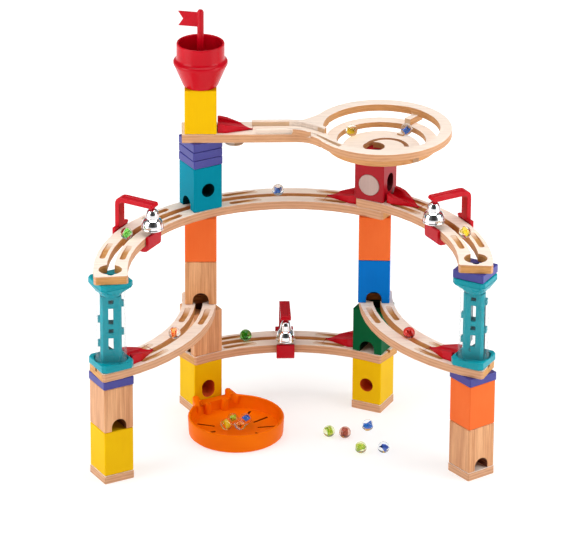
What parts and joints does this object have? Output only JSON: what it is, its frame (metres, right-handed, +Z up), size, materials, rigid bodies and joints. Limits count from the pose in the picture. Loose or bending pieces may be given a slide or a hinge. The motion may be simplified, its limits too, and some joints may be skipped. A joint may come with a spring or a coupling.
{
  "type": "marble run",
  "caption": "Wooden marble run: block towers on an arc joined by slotted curved rails, with a stepped spiral, clear drop towers, bells, a flag funnel and a catch tray.",
  "frame": {"origin": "middle of the footprint, on the surface that the run stands on", "axes": "+Z up, +Y towards the back towers, so the open side of the arc and the tray's front face -Y"},
  "size_m": [0.528, 0.3276, 0.571],
  "materials": {
    "plywood": "clear-lacquered birch plywood with pale tops and brown layered edges",
    "wood": "clear-lacquered beech",
    "yellow": "satin yellow lacquer on beech",
    "orange": "satin orange lacquer on beech",
    "blue": "satin blue lacquer on beech",
    "green": "satin green lacquer on beech",
    "teal": "satin teal lacquer on beech",
    "indigo": "satin indigo lacquer on plywood",
    "red": "satin red lacquer on beech",
    "red_plastic": "smooth moulded plastic",
    "teal_plastic": "smooth moulded plastic",
    "orange_plastic": "smooth moulded plastic",
    "clear": "clear tube",
    "chrome": "polished metal",
    "glass_green": "coloured glass marble",
    "glass_blue": "coloured glass marble",
    "glass_yellow": "coloured glass marble",
    "glass_lime": "coloured glass marble",
    "glass_amber": "coloured glass marble",
    "glass_red": "coloured glass marble"
  },
  "bodies": {
    "run": {"a_base_plate": "plywood", "a_yellow_block": "yellow", "a_wood_block": "wood", "a_indigo_spacer": "indigo", "a_drop_base": "teal_plastic", "a_drop_tube": "clear", "a_drop_top": "teal_plastic", "b_base_plate": "plywood", "b_yellow_block": "yellow", "b_wood_block_lower": "wood", "b_wood_block_upper": "wood", "b_orange_block": "orange", "b_teal_block": "teal", "b_indigo_spacer_1": "indigo", "b_indigo_spacer_2": "indigo", "b_indigo_spacer_3": "indigo", "b_yellow_block_top": "yellow", "funnel": "red_plastic", "ramp_spiral": "red_plastic", "c_base_plate": "plywood", "c_yellow_block": "yellow", "c_green_block": "green", "c_blue_block": "blue", "c_orange_block": "orange", "c_red_block": "red", "c_roundel": "wood", "spiral_track": "plywood", "spiral_disc": "plywood", "d_base_plate": "plywood", "d_wood_block": "wood", "d_orange_block": "orange", "d_indigo_spacer_lower": "indigo", "d_drop_base": "teal_plastic", "d_drop_tube": "clear", "d_drop_top": "teal_plastic", "d_indigo_spacer_upper": "indigo", "rail_upper_long": "plywood", "rail_upper_right": "plywood", "rail_lower_middle": "plywood", "rail_lower_left": "plywood", "rail_lower_right": "plywood", "ramp_drop_left": "red_plastic", "ramp_drop_right": "red_plastic", "ramp_green": "red_plastic", "ramp_red_left": "red_plastic", "ramp_red_right": "red_plastic", "bell_arm_left": "red_plastic", "bell_arm_right": "red_plastic", "bell_arm_middle": "red_plastic"},
    "flag": {"flag": "red_plastic"},
    "tray": {"tray": "orange_plastic"},
    "bell_left": {"bell_left": "chrome"},
    "bell_middle": {"bell_middle": "chrome"},
    "bell_right": {"bell_right": "chrome"},
    "marble_green_upper": {"marble_green_upper": "glass_green"},
    "marble_blue": {"marble_blue": "glass_blue"},
    "marble_yellow": {"marble_yellow": "glass_yellow"},
    "marble_green_lower": {"marble_green_lower": "glass_lime"},
    "marble_red_left": {"marble_red_left": "glass_amber"},
    "marble_red_right": {"marble_red_right": "glass_red"}
  },
  "joints": [
    {"name": "flag_turn", "type": "hinge", "parent": "run", "child": "flag", "pos_m": [-0.11567, 0.06927, 0.475], "axis": [0, 0, 1], "continuous": true},
    {"name": "tray_slide", "type": "slide", "parent": "run", "child": "tray", "axis": [0.4617, -0.887, 0], "range_m": [0, 0.1]},
    {"name": "bell_left_swing", "type": "hinge", "parent": "run", "child": "bell_left", "pos_m": [-0.1799, -0.02383, 0.3313], "axis": [-0.5225, -0.8526, 0], "range_deg": [-12, 12]},
    {"name": "bell_right_swing", "type": "hinge", "parent": "run", "child": "bell_right", "pos_m": [0.18544, -0.03499, 0.3431], "axis": [-0.4695, 0.8829, 0], "range_deg": [-12, 12]},
    {"name": "bell_middle_swing", "type": "hinge", "parent": "run", "child": "bell_middle", "pos_m": [-0.00226, 0.07668, 0.1217], "axis": [-1, -0.0087, 0], "range_deg": [-12, 12]},
    {"name": "marble_green_upper_roll", "type": "hinge", "parent": "run", "child": "marble_green_upper", "pos_m": [-0.00042, -0.13382, 0.3019], "axis": [0, 0, 1], "range_deg": [-27, 19]},
    {"name": "marble_blue_roll", "type": "hinge", "parent": "run", "child": "marble_blue", "pos_m": [-0.00042, -0.13382, 0.3019], "axis": [0, 0, 1], "range_deg": [-13, 19]},
    {"name": "marble_yellow_roll", "type": "hinge", "parent": "run", "child": "marble_yellow", "pos_m": [-0.00042, -0.13382, 0.3137], "axis": [0, 0, 1], "range_deg": [-12, 24]},
    {"name": "marble_green_lower_roll", "type": "hinge", "parent": "run", "child": "marble_green_lower", "pos_m": [-0.00042, -0.13382, 0.0923], "axis": [0, 0, 1], "range_deg": [-24, 8.5]},
    {"name": "marble_red_left_roll", "type": "hinge", "parent": "run", "child": "marble_red_left", "pos_m": [-0.35217, 0.06927, 0.1661], "axis": [0, 0, 1], "range_deg": [-8.5, 23.5]},
    {"name": "marble_red_right_roll", "type": "hinge", "parent": "run", "child": "marble_red_right", "pos_m": [0.35133, 0.06927, 0.1661], "axis": [0, 0, 1], "range_deg": [-25, 7]}
  ]
}
